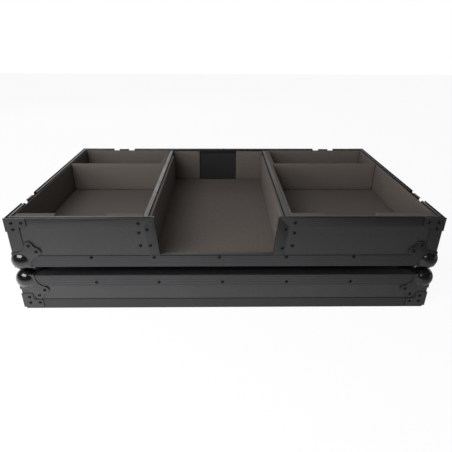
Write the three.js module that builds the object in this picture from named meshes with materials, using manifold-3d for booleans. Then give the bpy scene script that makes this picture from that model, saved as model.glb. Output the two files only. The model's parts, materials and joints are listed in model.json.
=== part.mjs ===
// A flight case of the coffin kind, for two turntables turned on end with a mixer between them.
// The lid lies mouth down on the floor, and the base tray stands on it, ball corner on ball corner.
// Millimetres, +Z up, the front toward -Y. The origin is on the floor, under the middle of the case.
import * as THREE from 'three';
import { mergeVertices } from 'three/addons/utils/BufferGeometryUtils.js';
import Module from 'manifold-3d';

const wasm = await Module();
wasm.setup();

// Driving dimensions of the case
const caseWidth = 1197; // over the edge profiles
const caseDepth = 717;
const lidHeight = 117.4; // floor to the lid's top face
const baseHeight = 153.5; // underside of the tray to the top of its rim
const ply = 9; // birch ply panels
const seat = 0.3; // glue line, or running clearance between neighbours
const overrun = 1; // how far a cutter passes the face that it cuts

// Edge profile: an aluminium angle with flutes along both faces
const profileLeg = 36;
const profileWall = 1.8;
const profileRadius = 2.5;
const fluteCount = 4;
const fluteWidth = 3.2;
const fluteDepth = 0.25;

// Rim profiles: the tray has a lip, a groove and a land behind it, the lid a tongue that drops into the groove
const railBite = 0.2; // how far a corner brace is pressed into the post under it
const railFace = seat + railBite; // the rail lies this far behind the edge profiles
const railWall = 1.5;
const baseRailHeight = 26.5;
const lidRailHeight = 26.5;
const lipThickness = 1.8;
const lipHeight = 7.6;
const lipBevel = 0.4;
const tongueLength = 7;
const tongueClearance = 0.5;
const grooveWidth = 5.2;
const ridgeHeight = 0.6; // the land lies this far below the lip
const innerLegReach = 7.5; // how far the inner leg laps down over the panel

// Ball corners
const plateThickness = 1.5;
const ballProud = 13.2; // how far the ball stands out of all three faces
const ballInset = 18; // the ball's middle, inside the three faces
const ballSegments = 20;
const ballRings = 12;
const lobeFar = 69; // the screw lobes, from the two edges of the face
const lobeNear = 50.5;
const lobeRadius = 12.5;
const waist = 47; // width of the plate where it crosses an edge
const waistBend = 33; // where the waist's curve turns toward the lobe
const lobeStart = -62; // degrees round the lobe
const lobeEnd = 62;
const lobeSegments = 5;

// Corner braces at the rim
const braceThickness = 1.6;
const braceLong = 57;
const baseBraceTall = 40;
const lidBraceTall = 48;
const lidBraceStrip = 26;
const baseBraceWide = 36;
const lidBraceWide = 31; // it ends beside the ball corner's lobe
const braceChamfer = 3;

// Where things stand, worked out from the above
const halfWidth = caseWidth / 2;
const halfDepth = caseDepth / 2;
const panelOuter = profileWall + seat; // every inward distance is from the face of the edge profiles
const panelInner = panelOuter + ply;
const legInner = panelInner + seat;
const liningOuter = legInner + railWall + seat;
const railBack = railFace + railWall - railBite;
const landOuter = railFace + lipThickness + grooveWidth;
const baseBottom = lidHeight + ballProud + seat + ballProud;
const rimTop = baseBottom + baseHeight;
const grooveDrop = lipHeight + railWall;
const floorTop = baseBottom + panelOuter + ply;

// Bays: the mixer bay is left of the middle, so that the right turntable bay is the wider one
const bayCentre = -25.7;
const dividerThickness = 12;
const dividerDrop = 3.5; // top of the dividers below the rim

// The notch in the front of the mixer bay, wider at the top
const notchTopHalf = 170;
const notchLean = 10; // how far each side leans in between the rim and the sill
const sillAboveProfile = 4;
const notchRelief = 2; // at its foot the ply's notch is cut this much wider than its caps
const capFace = 30;
const capWall = 1.5;
const capInnerLeg = 15;
const sill = baseBottom + profileLeg + sillAboveProfile;

// The dividers stand just clear of the caps that close the notch's ends
const dividerBehindCap = 4;
const mixerBayHalf = notchTopHalf + capInnerLeg + dividerBehindCap;
const dividerLeft = bayCentre - mixerBayHalf - dividerThickness;
const dividerRight = bayCentre + mixerBayHalf + dividerThickness;

// Latches: two on each of the sides near the front, two at the back
const leftLatchFromFront = 153.5; // middle of the side latches, which aren't quite level with each other
const rightLatchFromFront = 166.5;
const latchFromSide = 174.5; // middle of the rear latches
const leftLatch = leftLatchFromFront - halfDepth;
const rightLatch = rightLatchFromFront - halfDepth;
const latchApart = halfWidth - latchFromSide;
const dishHalf = 43.4;
const dishHeight = 66;
const dishFlange = 1.2;
const panHalf = 37;
const panHeight = 60;
const panWall = 1.2;
const panBack = panelInner - railBite;
const rotorDrop = 34; // the turning axis, below the rim
const rotorRadius = 7;
const rotorDisc = 10.5;
const hookHalf = 20;
const hookThickness = 2;
const hookTop = 0.8; // below the rim when latched
const hookBottom = 55;
const hookLift = 8;
const hookLip = 3.2;
const leafRadius = 21;
const leafThickness = 1.9;
const leafAxis = 2.4; // the leaves' pin, behind the face of the profiles
const pinRadius = 1.2;
const pinHalf = 15.5;
const knuckleRadius = 2.2;
const knuckleBore = 1.5;
const knuckleLength = 4;
const knuckleNear = 6.3; // the first leaf's knuckles, from the middle of the pin
const knuckleFar = 10.8; // the second leaf's
const lugHalf = 5.5;
const lugRise = 1.2;
const leafEdge = 2.6; // straight edge of a leaf, from the pin
const keeperPanHalf = 30;
const keeperPanHeight = 24;
const keeperHeight = 29;
const catchHalf = 16;
const catchThickness = 1.5;
const catchLip = 3.6;
const catchDepth = 1.8;

// Side handles: a dish with a sprung bail and a rubber grip
const handleBack = 40; // behind the middle of the side
const handleFlangeHalf = 80;
const handleFromProfiles = 3; // the dish fills the height between edge profile and rim, less this
const handleFlangeRise = (baseHeight - profileLeg - baseRailHeight) / 2 - handleFromProfiles;
const handleFlangeLap = 8.3;
const handlePanHalf = 69.2;
const handlePanRise = handleFlangeRise - handleFlangeLap;
const handlePanDepth = 15;
const handleCorner = 10;
const bailRadius = 3.5;
const bailHalf = 51;
const bailPivotDrop = 13.2; // below the top of the pan
const bailPivotRise = handlePanRise - bailPivotDrop;
const bailAxis = 8; // behind the face of the profiles
const bailBend = 8;
const gripHalf = 40;
const gripTall = 17;
const gripThick = 11;
const gripFromPan = 10.7; // between the grip and the bottom of the pan
const gripLevel = gripTall / 2 + gripFromPan - handlePanRise;
const earWide = 6;
const earHalf = 6;
const earClearance = 0.4;

// Foam
const sideLining = 6;
const frontBlock = 32;
const fingerWidth = 140;
const fingerDepth = 17;
const fingerDrop = 55;
const rearStop = 15;
const rearBlock = 17; // foam along the divider, behind the turntable
const turntableLength = 458;
const fingerInset = 175; // middle of a finger slot, from the divider
const rightDividerLining = 10;
const bedThickness = 35;
const mixerPad = 10;
const mixerLining = 10;
const mixerLiningStop = 70; // the side lining stops this far short of the rear panel
const bareHalf = 78; // half the bare stretch of the rear panel behind the mixer
const lidPad = 10;
const liningDrop = 3.5; // top of the foam below the rim

const roundSides = 16;
const smallSides = 10;
const deg = Math.PI / 180;

// Solids and their joining and cutting

function solid(geometry) {
  const bare = geometry.index ? geometry.clone() : geometry;
  bare.deleteAttribute('normal');
  bare.deleteAttribute('uv');
  const merged = mergeVertices(bare);
  return new wasm.Manifold(new wasm.Mesh({
    numProp: 3,
    vertProperties: new Float32Array(merged.attributes.position.array),
    triVerts: new Uint32Array(merged.index.array),
  }));
}

function geometryOf(body) {
  const mesh = body.getMesh();
  const geometry = new THREE.BufferGeometry();
  geometry.setAttribute('position', new THREE.BufferAttribute(new Float32Array(mesh.vertProperties), 3));
  geometry.setIndex(new THREE.BufferAttribute(new Uint32Array(mesh.triVerts), 1));
  geometry.computeVertexNormals();
  return geometry;
}

// Column-major matrices that take local x, y, z to y, z, x, and to z, x, y
const turned = [0, 1, 0, 0, 0, 0, 1, 0, 1, 0, 0, 0, 0, 0, 0, 1];
const turnedTwice = [0, 0, 1, 0, 1, 0, 0, 0, 0, 1, 0, 0, 0, 0, 0, 1];

const join = (...bodies) => bodies.reduce((whole, body) => whole.add(body));
const cut = (body, ...cutters) => cutters.reduce((rest, cutter) => rest.subtract(cutter), body);

function block(x0, x1, y0, y1, z0, z1) {
  const geometry = new THREE.BoxGeometry(x1 - x0, y1 - y0, z1 - z0);
  geometry.translate((x0 + x1) / 2, (y0 + y1) / 2, (z0 + z1) / 2);
  return solid(geometry);
}

// Pushes a flat outline from one height to another along local Z
function prism(shape, from, to, curveSegments = lobeSegments) {
  const geometry = new THREE.ExtrudeGeometry(shape, { depth: to - from, bevelEnabled: false, curveSegments });
  geometry.translate(0, 0, from);
  return solid(geometry);
}

// The same, for an outline drawn in x and z that is pushed along y
function frontPrism(shape, from, to) {
  const geometry = new THREE.ExtrudeGeometry(shape, { depth: to - from, bevelEnabled: false });
  geometry.rotateX(Math.PI / 2);
  geometry.translate(0, to, 0);
  return solid(geometry);
}

function rod(radius, from, to, axis, sides = roundSides) {
  const geometry = new THREE.CylinderGeometry(radius, radius, to - from, sides);
  geometry.translate(0, (from + to) / 2, 0);
  if (axis === 'x') geometry.rotateZ(-Math.PI / 2);
  if (axis === 'z') geometry.rotateX(Math.PI / 2);
  return solid(geometry);
}

function outline(points) {
  return new THREE.Shape(points.map(([x, y]) => new THREE.Vector2(x, y)));
}

function roundedRectangle(halfX, halfY, radius) {
  const shape = new THREE.Shape();
  shape.moveTo(radius - halfX, -halfY);
  shape.absarc(halfX - radius, radius - halfY, radius, -Math.PI / 2, 0, false);
  shape.absarc(halfX - radius, halfY - radius, radius, 0, Math.PI / 2, false);
  shape.absarc(radius - halfX, halfY - radius, radius, Math.PI / 2, Math.PI, false);
  shape.absarc(radius - halfX, radius - halfY, radius, Math.PI, Math.PI * 3 / 2, false);
  return shape;
}

// Runs a section along the outside of the walls, with mitred bends. A section point is [inward, up],
// and the route runs anticlockwise seen from above.
function sweep(section, route, level, closed = false) {
  const count = route.length;
  const heading = (from, to) => new THREE.Vector2(to[0] - from[0], to[1] - from[1]).normalize();
  const rings = route.map((point, i) => {
    const before = closed || i > 0 ? heading(route[(i + count - 1) % count], point) : null;
    const after = closed || i < count - 1 ? heading(point, route[(i + 1) % count]) : null;
    const inward = new THREE.Vector2();
    if (before) inward.add(new THREE.Vector2(-before.y, before.x));
    if (after) inward.add(new THREE.Vector2(-after.y, after.x));
    return section.map(([deep, up]) => [point[0] + inward.x * deep, point[1] + inward.y * deep, level + up]);
  });
  const size = section.length;
  const faces = [];
  for (let i = 0; i < (closed ? count : count - 1); i++) {
    for (let j = 0; j < size; j++) {
      const a = i * size + j;
      const b = i * size + (j + 1) % size;
      const c = ((i + 1) % count) * size + (j + 1) % size;
      const d = ((i + 1) % count) * size + j;
      faces.push(a, b, c, a, c, d);
    }
  }
  if (!closed) {
    const contour = section.map(([x, y]) => new THREE.Vector2(x, y));
    for (const [a, b, c] of THREE.ShapeUtils.triangulateShape(contour, [])) {
      const last = (count - 1) * size;
      faces.push(c, b, a, last + a, last + b, last + c);
    }
  }
  const geometry = new THREE.BufferGeometry();
  geometry.setAttribute('position', new THREE.Float32BufferAttribute(rings.flat(2), 3));
  geometry.setIndex(faces);
  return solid(geometry);
}

const perimeter = [[-halfWidth, -halfDepth], [halfWidth, -halfDepth], [halfWidth, halfDepth], [-halfWidth, halfDepth]];
const upsideDown = (section) => section.map(([deep, up]) => [deep, -up]).reverse();

// Edge profile

function flutedFace() {
  const pitch = (profileLeg - profileRadius) / fluteCount;
  const points = [];
  for (let i = 0; i < fluteCount; i++) {
    const middle = profileRadius + pitch * (i + 0.5);
    points.push([middle - fluteWidth / 2, 0], [middle - fluteWidth / 4, fluteDepth]);
    points.push([middle + fluteWidth / 4, fluteDepth], [middle + fluteWidth / 2, 0]);
  }
  return points;
}

// Points are [inward from one face, inward from the other]
function angleSection() {
  const face = flutedFace();
  const rounding = profileRadius * (1 - Math.SQRT1_2);
  return [
    [profileRadius, 0],
    ...face,
    [profileLeg, 0],
    [profileLeg, profileWall],
    [profileWall, profileWall],
    [profileWall, profileLeg],
    [0, profileLeg],
    ...face.map(([along, deep]) => [deep, along]).reverse(),
    [0, profileRadius],
    [rounding, rounding],
  ];
}

function cornerPost(sideX, sideY, from, to) {
  const plan = angleSection().map(([p, q]) => [sideX * (halfWidth - p), sideY * (halfDepth - q)]);
  return prism(outline(plan), from, to);
}

// Corner brace: an L of plate on each of the two faces, joined round the corner
function cornerBrace(sideX, sideY, edge, up, strip, tall, wide) {
  const shape = (near, far) => outline([
    [near, 0],
    [far * braceLong, 0],
    [far * braceLong, strip - braceChamfer],
    [far * (braceLong - braceChamfer), strip],
    [far * (wide + braceChamfer), strip],
    [far * wide, strip + braceChamfer],
    [far * wide, tall - braceChamfer],
    [far * (wide - braceChamfer), tall],
    [near, tall],
  ].map(([across, rise]) => [across, edge + up * rise]));
  const frontShape = shape(sideX * braceThickness, -sideX);
  const frontFace = frontPrism(frontShape, -braceThickness, railBite);
  const turned = sideY < 0 ? frontFace : frontFace.mirror([0, 1, 0]);
  const front = turned.translate([sideX * halfWidth, sideY * halfDepth, 0]);
  const sideShape = shape(sideY * (braceThickness - seat), -sideY);
  const sideFace = prism(sideShape, -railBite, braceThickness).transform(turned);
  const facing = sideX > 0 ? sideFace : sideFace.mirror([1, 0, 0]);
  return front.add(facing.translate([sideX * halfWidth, sideY * halfDepth, 0]));
}

const corners = [[-1, -1, 'front_left'], [1, -1, 'front_right'], [1, 1, 'rear_right'], [-1, 1, 'rear_left']];

// Ball corner: three lobed plates and the ball, drawn at the front left corner of an underside

function lobedPlate() {
  const shape = new THREE.Shape();
  const start = -plateThickness - seat;
  const from = lobeStart * deg;
  const to = lobeEnd * deg;
  const quarter = Math.PI / 2;
  const dip = (lobeFar + lobeNear) / 2 + lobeRadius / 2;
  shape.moveTo(start, start);
  shape.lineTo(waist, start);
  shape.quadraticCurveTo(
    waist, waistBend, lobeFar + lobeRadius * Math.cos(from), lobeNear + lobeRadius * Math.sin(from));
  shape.absarc(lobeFar, lobeNear, lobeRadius, from, to, false);
  shape.lineTo(dip, dip);
  shape.absarc(lobeNear, lobeFar, lobeRadius, quarter - to, quarter - from, false);
  shape.quadraticCurveTo(waistBend, waist, start, waist);
  return shape;
}

function ballCorner() {
  const outer = -seat - plateThickness;
  const plate = prism(lobedPlate(), outer, -seat);
  const upright = plate.transform(turned);
  const facing = plate.transform(turnedTwice);
  const sphere = new THREE.SphereGeometry(ballInset + ballProud, ballSegments, ballRings);
  sphere.rotateX(Math.PI / 2);
  sphere.translate(ballInset, ballInset, ballInset);
  const inside = ballInset + ballProud + lobeFar;
  const hollow = block(-seat, inside, -seat, inside, -seat, inside);
  return cut(join(plate, upright, facing, solid(sphere)), hollow);
}

// Rim profiles

function baseRailSection() {
  const lip = railFace + lipThickness;
  return [
    [railFace, -baseRailHeight],
    [railBack, -baseRailHeight],
    [railBack, -grooveDrop],
    [landOuter + railWall, -grooveDrop],
    [landOuter + railWall, -ridgeHeight - railWall],
    [legInner, -ridgeHeight - railWall],
    [legInner, -grooveDrop - innerLegReach],
    [legInner + railWall, -grooveDrop - innerLegReach],
    [legInner + railWall, -ridgeHeight],
    [landOuter, -ridgeHeight],
    [landOuter, -lipHeight],
    [lip, -lipHeight],
    [lip, -lipBevel],
    [lip - lipBevel, 0],
    [railFace + lipBevel, 0],
    [railFace, -lipBevel],
  ];
}

function lidRailSection() {
  const tongueOuter = railFace + lipThickness + tongueClearance;
  const tongueInner = landOuter - tongueClearance;
  const web = tongueLength + railWall;
  return [
    [railFace, tongueLength],
    [tongueOuter, tongueLength],
    [tongueOuter, 0],
    [tongueInner, 0],
    [tongueInner, tongueLength],
    [legInner + railWall, tongueLength],
    [legInner + railWall, web + innerLegReach],
    [legInner, web + innerLegReach],
    [legInner, web],
    [railBack, web],
    [railBack, tongueLength + lidRailHeight],
    [railFace, tongueLength + lidRailHeight],
  ];
}

// The four latch places, as [name, x, y, outward heading]
const latchPlaces = [
  ['left', -halfWidth, leftLatch, [-1, 0]],
  ['right', halfWidth, rightLatch, [1, 0]],
  ['rear_left', -latchApart, halfDepth, [0, 1]],
  ['rear_right', latchApart, halfDepth, [0, 1]],
];
const railGap = dishHalf + seat;

// Half the notch's width at a height
function notchHalf(level) {
  return notchTopHalf - notchLean * (rimTop - level) / (rimTop - sill);
}

function baseRails() {
  const section = baseRailSection();
  const notchEnd = notchTopHalf + capWall + seat;
  const notchLeft = bayCentre - notchEnd;
  const notchRight = bayCentre + notchEnd;
  const rail = (route) => sweep(section, route, rimTop);
  return {
    front_left: cut(rail([[-halfWidth, leftLatch - railGap], perimeter[0], [notchLeft, -halfDepth]]), mitreCut(-1)),
    front_right: cut(rail([[notchRight, -halfDepth], perimeter[1], [halfWidth, rightLatch - railGap]]), mitreCut(1)),
    rear_right: rail([[halfWidth, rightLatch + railGap], perimeter[2], [latchApart + railGap, halfDepth]]),
    rear_middle: rail([[latchApart - railGap, halfDepth], [railGap - latchApart, halfDepth]]),
    rear_left: rail([[-latchApart - railGap, halfDepth], perimeter[3], [-halfWidth, leftLatch + railGap]]),
  };
}

function lidRimFrame() {
  const section = lidRailSection();
  const rail = (route) => sweep(section, route, 0);
  const rails = [
    rail([[-halfWidth, leftLatch - dishHalf], perimeter[0], perimeter[1], [halfWidth, rightLatch - dishHalf]]),
    rail([[halfWidth, rightLatch + dishHalf], perimeter[2], [latchApart + dishHalf, halfDepth]]),
    rail([[latchApart - dishHalf, halfDepth], [dishHalf - latchApart, halfDepth]]),
    rail([[-latchApart - dishHalf, halfDepth], perimeter[3], [-halfWidth, leftLatch + dishHalf]]),
  ];
  const keepers = latchPlaces.map(([, x, y, heading]) => latchKeeper().transform(wallMatrix(x, y, tongueLength, heading)));
  return join(...rails, ...keepers);
}

// Wall frames: local x runs along the wall, y up and z out of it

function wallBasis(heading) {
  const out = new THREE.Vector3(heading[0], heading[1], 0);
  const up = new THREE.Vector3(0, 0, 1);
  return new THREE.Matrix4().makeBasis(new THREE.Vector3().crossVectors(up, out), up, out);
}

function wallMatrix(x, y, z, heading) {
  return wallBasis(heading).setPosition(x, y, z).elements.map((value) => value);
}

// Latch parts, in a wall frame with its origin at the rim

function latchDish() {
  const face = -panelOuter + seat;
  const flange = block(-dishHalf, dishHalf, -dishHeight, -lipHeight, face, face + dishFlange);
  const pan = block(-panHalf, panHalf, -panHeight, -lipHeight, -panBack, face + overrun);
  const inner = block(
    panWall - panHalf, panHalf - panWall, panWall - panHeight, overrun, panWall - panBack, face + dishFlange + overrun);
  return cut(join(flange, pan), inner);
}

const panFloor = panWall - panBack;
const hookBack = panFloor + seat;
const discBack = hookBack + hookThickness + seat;
const discFront = -leafAxis - knuckleRadius - seat - seat;

function latchHook() {
  const plate = block(-hookHalf, hookHalf, -hookBottom, -hookTop, hookBack, hookBack + hookThickness);
  const lip = block(
    -hookHalf, hookHalf, -hookTop - hookThickness, -hookTop, hookBack, hookBack + hookThickness + hookLip);
  const slot = new THREE.Shape();
  const radius = rotorRadius + seat + seat;
  slot.absarc(0, -rotorDrop, radius, 0, Math.PI, false);
  slot.absarc(0, -rotorDrop - hookLift, radius, Math.PI, Math.PI * 2, false);
  const window = prism(slot, hookBack - overrun, hookBack + hookThickness + overrun, smallSides);
  return cut(join(plate, lip), window);
}

function latchRotor() {
  const boss = rod(rotorRadius, hookBack, discBack + seat, 'z');
  const disc = rod(rotorDisc, discBack, discFront, 'z');
  const lug = block(-lugHalf, lugHalf, -leafEdge + seat + seat, leafEdge - seat - seat, discFront - seat, lugRise - leafAxis);
  const pin = rod(pinRadius, -pinHalf, pinHalf, 'x', smallSides).translate([0, 0, -leafAxis]);
  return join(boss, disc, lug, pin);
}

function latchLeaf(near) {
  const back = -leafAxis - knuckleRadius;
  const half = new THREE.Shape();
  const rise = Math.asin(leafEdge / leafRadius);
  half.absarc(0, 0, leafRadius, rise, Math.PI - rise, false);
  let leaf = prism(half, back, back + leafThickness, smallSides);
  for (const side of [-1, 1]) {
    const from = side > 0 ? near : -near - knuckleLength;
    const tab = block(from, from + knuckleLength, 0, leafEdge + seat, back, back + leafThickness);
    const barrel = rod(knuckleRadius, from, from + knuckleLength, 'x', smallSides).translate([0, 0, -leafAxis]);
    leaf = join(leaf, tab, barrel);
  }
  return cut(leaf, rod(knuckleBore, -leafRadius, leafRadius, 'x', smallSides).translate([0, 0, -leafAxis]));
}

// The lid's half of a latch, in a wall frame with its origin at the lid's mouth
function latchKeeper() {
  const face = -panelOuter + seat;
  const wide = dishHalf + overrun;
  const flange = block(-wide, wide, 0, keeperHeight, face, face + dishFlange);
  const pan = block(-keeperPanHalf, keeperPanHalf, 0, keeperPanHeight, -panBack, face + overrun);
  const inner = block(
    panWall - keeperPanHalf, keeperPanHalf - panWall, -overrun, keeperPanHeight - panWall,
    panWall - panBack, face + dishFlange + overrun);
  const strap = block(-catchHalf, catchHalf, -tongueLength, keeperPanHeight, face - catchThickness, face);
  const lip = block(
    -catchHalf, catchHalf, -tongueLength, catchDepth - tongueLength, face - catchThickness - catchLip, face);
  return join(cut(join(flange, pan), inner), strap, lip);
}

// Side handle parts, in a wall frame with its origin at the middle of the dish

const bailSpan = handlePanHalf - panWall;

function handleDish() {
  const face = -panelOuter + seat;
  const flange = prism(roundedRectangle(handleFlangeHalf, handleFlangeRise, handleCorner), face, face + dishFlange);
  const pan = prism(roundedRectangle(handlePanHalf, handlePanRise, handleCorner), -handlePanDepth, face + railBite);
  const inner = prism(
    roundedRectangle(handlePanHalf - panWall, handlePanRise - panWall, handleCorner - panWall),
    panWall - handlePanDepth, face + dishFlange + overrun);
  let dish = cut(join(flange, pan), inner);
  for (const side of [-1, 1]) {
    const near = bailSpan - earWide;
    const from = side > 0 ? near : -bailSpan - railBite;
    const to = side > 0 ? bailSpan + railBite : -near;
    const ear = block(
      from, to, bailPivotRise - earHalf, bailPivotRise + earHalf, -handlePanDepth + panWall - railBite,
      -bailAxis + earHalf);
    dish = join(dish, ear);
  }
  const bore = rod(bailRadius + earClearance, -bailSpan, bailSpan, 'x', smallSides);
  return cut(dish, bore.translate([0, bailPivotRise, -bailAxis]));
}

// The bail's middle stretch carries the grip, and its ends turn out into the ears
function handleBail() {
  const high = bailPivotRise;
  const low = gripLevel;
  const end = bailSpan - seat;
  const bend = bailBend;
  const places = [
    [-end, high], [-bailHalf - bend, high], [-bailHalf, high - bend], [-bailHalf, low + bend],
    [bend - bailHalf, low], [bailHalf - bend, low], [bailHalf, low + bend], [bailHalf, high - bend],
    [bailHalf + bend, high], [end, high],
  ];
  return bentRod(bailRadius, places.map(([x, y]) => new THREE.Vector3(x, y, -bailAxis)));
}

// A round rod through points in a plane of constant z, mitred at each bend
function bentRod(radius, points) {
  const up = new THREE.Vector3(0, 0, 1);
  const last = points.length - 1;
  const rings = points.flatMap((point, i) => {
    const before = point.clone().sub(points[Math.max(i - 1, 0)]).normalize();
    const after = points[Math.min(i + 1, last)].clone().sub(point).normalize();
    const along = before.clone().add(after).normalize();
    const stretch = 1 / Math.max(along.dot(before), along.dot(after));
    const across = new THREE.Vector3().crossVectors(along, up).multiplyScalar(stretch);
    return Array.from({ length: smallSides }, (unused, j) => {
      const turn = 2 * Math.PI * j / smallSides;
      return point.clone().addScaledVector(across, radius * Math.cos(turn)).addScaledVector(up, radius * Math.sin(turn));
    });
  });
  const geometry = new THREE.BufferGeometry().setFromPoints(rings);
  geometry.setIndex(ringFaces(smallSides, last));
  return solid(geometry);
}

// Faces of a run of equal rings, with a fan at each end
function ringFaces(sides, runs) {
  const faces = [];
  for (let i = 0; i < runs; i++) {
    for (let j = 0; j < sides; j++) {
      const a = i * sides + j;
      const b = i * sides + (j + 1) % sides;
      faces.push(a, b + sides, b, a, a + sides, b + sides);
    }
  }
  const end = runs * sides;
  for (let j = 1; j + 1 < sides; j++) faces.push(0, j, j + 1, end, end + j + 1, end + j);
  return faces;
}

function handleGrip() {
  const profile = roundedRectangle(gripTall / 2, gripThick / 2, gripThick / 2 - seat);
  const sleeve = prism(profile, -gripHalf, gripHalf, smallSides).transform(turned);
  const bore = rod(bailRadius + seat, -gripHalf - overrun, gripHalf + overrun, 'x');
  return cut(sleeve, bore).translate([0, gripLevel, -bailAxis]);
}

// Wooden panels

const wallBottom = floorTop + seat;
const wallTop = rimTop - grooveDrop - seat;
const lidWallBottom = tongueLength + railWall + seat;
const lidWallTop = lidHeight - panelOuter - ply - seat;
const handleLevel = (baseBottom + profileLeg + rimTop - baseRailHeight) / 2;
const handlePlaces = [
  ['left', -halfWidth, handleBack, handleLevel, [-1, 0]],
  ['right', halfWidth, handleBack, handleLevel, [1, 0]],
];

// The four walls of a box, the front and rear ones running the full width
function boxWalls(from, to) {
  const wide = halfWidth - panelOuter;
  const deep = halfDepth - panelInner - seat;
  return {
    front: block(-wide, wide, panelOuter - halfDepth, panelInner - halfDepth, from, to),
    rear: block(-wide, wide, halfDepth - panelInner, halfDepth - panelOuter, from, to),
    left: block(panelOuter - halfWidth, panelInner - halfWidth, -deep, deep, from, to),
    right: block(halfWidth - panelInner, halfWidth - panelOuter, -deep, deep, from, to),
  };
}

function notchOpening() {
  const extra = capWall + seat;
  const low = notchHalf(sill) + extra + notchRelief;
  const high = notchHalf(rimTop + overrun) + extra;
  const bend = sill + (rimTop - sill) * notchRelief / notchLean;
  return outline([
    [bayCentre - low, sill], [bayCentre + low, sill], [bayCentre + low, bend],
    [bayCentre + high, rimTop + overrun], [bayCentre - high, rimTop + overrun], [bayCentre - low, bend],
  ]);
}

function basePanels() {
  const walls = boxWalls(wallBottom, wallTop);
  const notch = frontPrism(notchOpening(), -halfDepth, -halfDepth + panelInner + overrun);
  walls.front = cut(walls.front, notch);
  const half = panHalf + seat;
  const dishCut = block(-half, half, -panHeight - seat, overrun, -panelInner - overrun, 0);
  for (const [name, x, y, heading] of latchPlaces) {
    const wall = name.startsWith('rear') ? 'rear' : name;
    walls[wall] = cut(walls[wall], dishCut.transform(wallMatrix(x, y, rimTop, heading)));
  }
  const opening = roundedRectangle(handlePanHalf + seat, handlePanRise + seat, handleCorner);
  const handleCut = prism(opening, -panelInner - overrun, 0);
  for (const [name, x, y, z, heading] of handlePlaces) {
    walls[name] = cut(walls[name], handleCut.transform(wallMatrix(x, y, z, heading)));
  }
  return walls;
}

function floorPanel(level) {
  const wide = halfWidth - panelOuter;
  const deep = halfDepth - panelOuter;
  return block(-wide, wide, -deep, deep, level, level + ply);
}

function lidPanels() {
  const walls = boxWalls(lidWallBottom, lidWallTop);
  const half = keeperPanHalf + seat;
  const keeperCut = block(-half, half, 0, keeperPanHeight + seat, -panelInner - overrun, 0);
  for (const [name, x, y, heading] of latchPlaces) {
    const wall = name.startsWith('rear') ? 'rear' : name;
    walls[wall] = cut(walls[wall], keeperCut.transform(wallMatrix(x, y, tongueLength, heading)));
  }
  return walls;
}

// Room that the rim profiles' inner legs take, all round the top of the tray
function railRoom() {
  const from = rimTop - grooveDrop - innerLegReach - seat;
  const wide = halfWidth - liningOuter;
  const deep = halfDepth - liningOuter;
  const all = block(-halfWidth, halfWidth, -halfDepth, halfDepth, from, rimTop);
  return cut(all, block(-wide, wide, -deep, deep, from - overrun, rimTop + overrun));
}

function divider(from) {
  const deep = halfDepth - panelInner - seat;
  return cut(block(from, from + dividerThickness, -deep, deep, wallBottom, rimTop - dividerDrop), railRoom());
}

// Edge frames: a ring of edge profile, four posts and four corner braces

function baseEdgeFrame() {
  let frame = sweep(angleSection(), perimeter, baseBottom, true);
  for (const [sideX, sideY] of corners) {
    const post = cornerPost(sideX, sideY, baseBottom + profileLeg - overrun, rimTop - baseRailHeight - seat);
    const top = rimTop - lipBevel;
    const brace = cornerBrace(sideX, sideY, top, -1, baseRailHeight, baseBraceTall, baseBraceWide);
    frame = join(frame, post, brace);
  }
  return frame;
}

function lidEdgeFrame() {
  let frame = sweep(upsideDown(angleSection()), perimeter, lidHeight, true);
  for (const [sideX, sideY] of corners) {
    const post = cornerPost(sideX, sideY, tongueLength + lidRailHeight + seat, lidHeight - profileLeg + overrun);
    const foot = tongueLength + lipBevel;
    const brace = cornerBrace(sideX, sideY, foot, 1, lidBraceStrip, lidBraceTall, lidBraceWide);
    frame = join(frame, post, brace);
  }
  return frame;
}

// Notch caps: a channel folded over the slanted end of the front panel

// The rim profile gives way to the cap along a mitre
function mitreCut(side) {
  const low = rimTop - baseRailHeight;
  const reach = notchHalf(low) + capFace + seat;
  const slope = (reach - notchTopHalf - seat) / baseRailHeight;
  const wedge = outline([
    [0, rimTop + overrun],
    [notchTopHalf + seat - slope * overrun, rimTop + overrun],
    [reach + slope * overrun, low - overrun],
    [0, low - overrun],
  ].map(([x, z]) => [bayCentre + side * x, z]));
  return frontPrism(wedge, -halfDepth - overrun, railFace + lipThickness + seat - halfDepth);
}

function notchCap(side) {
  const shape = (points) => outline(points.map(([x, z]) => [bayCentre + side * x, z]));
  const mitre = rimTop - baseRailHeight;
  const foot = baseBottom + profileLeg + seat;
  const legTop = mitreClear();
  const face = shape([
    [notchHalf(foot), foot], [notchHalf(foot) + capFace, foot],
    [notchHalf(mitre) + capFace, mitre], [notchTopHalf, rimTop],
  ]);
  const strip = (width, from, to) => shape([
    [notchHalf(from), from], [notchHalf(from) + width, from], [notchHalf(to) + width, to], [notchHalf(to), to],
  ]);
  const inner = legInner + railWall - halfDepth;
  return join(
    frontPrism(face, railFace - halfDepth, railBack - halfDepth),
    frontPrism(strip(capWall, sill + seat, rimTop - lipBevel), railFace - halfDepth, inner),
    frontPrism(strip(capInnerLeg, sill + seat, legTop), legInner - halfDepth, inner));
}

function mitreClear() {
  return rimTop - grooveDrop - innerLegReach - seat;
}

// Foam

const foamWide = halfWidth - legInner;
const foamDeep = halfDepth - legInner;
const foamTop = rimTop - liningDrop;
const bedTop = wallBottom + bedThickness;
const wellFront = frontBlock - foamDeep;
const wellRear = wellFront + turntableLength;

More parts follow.
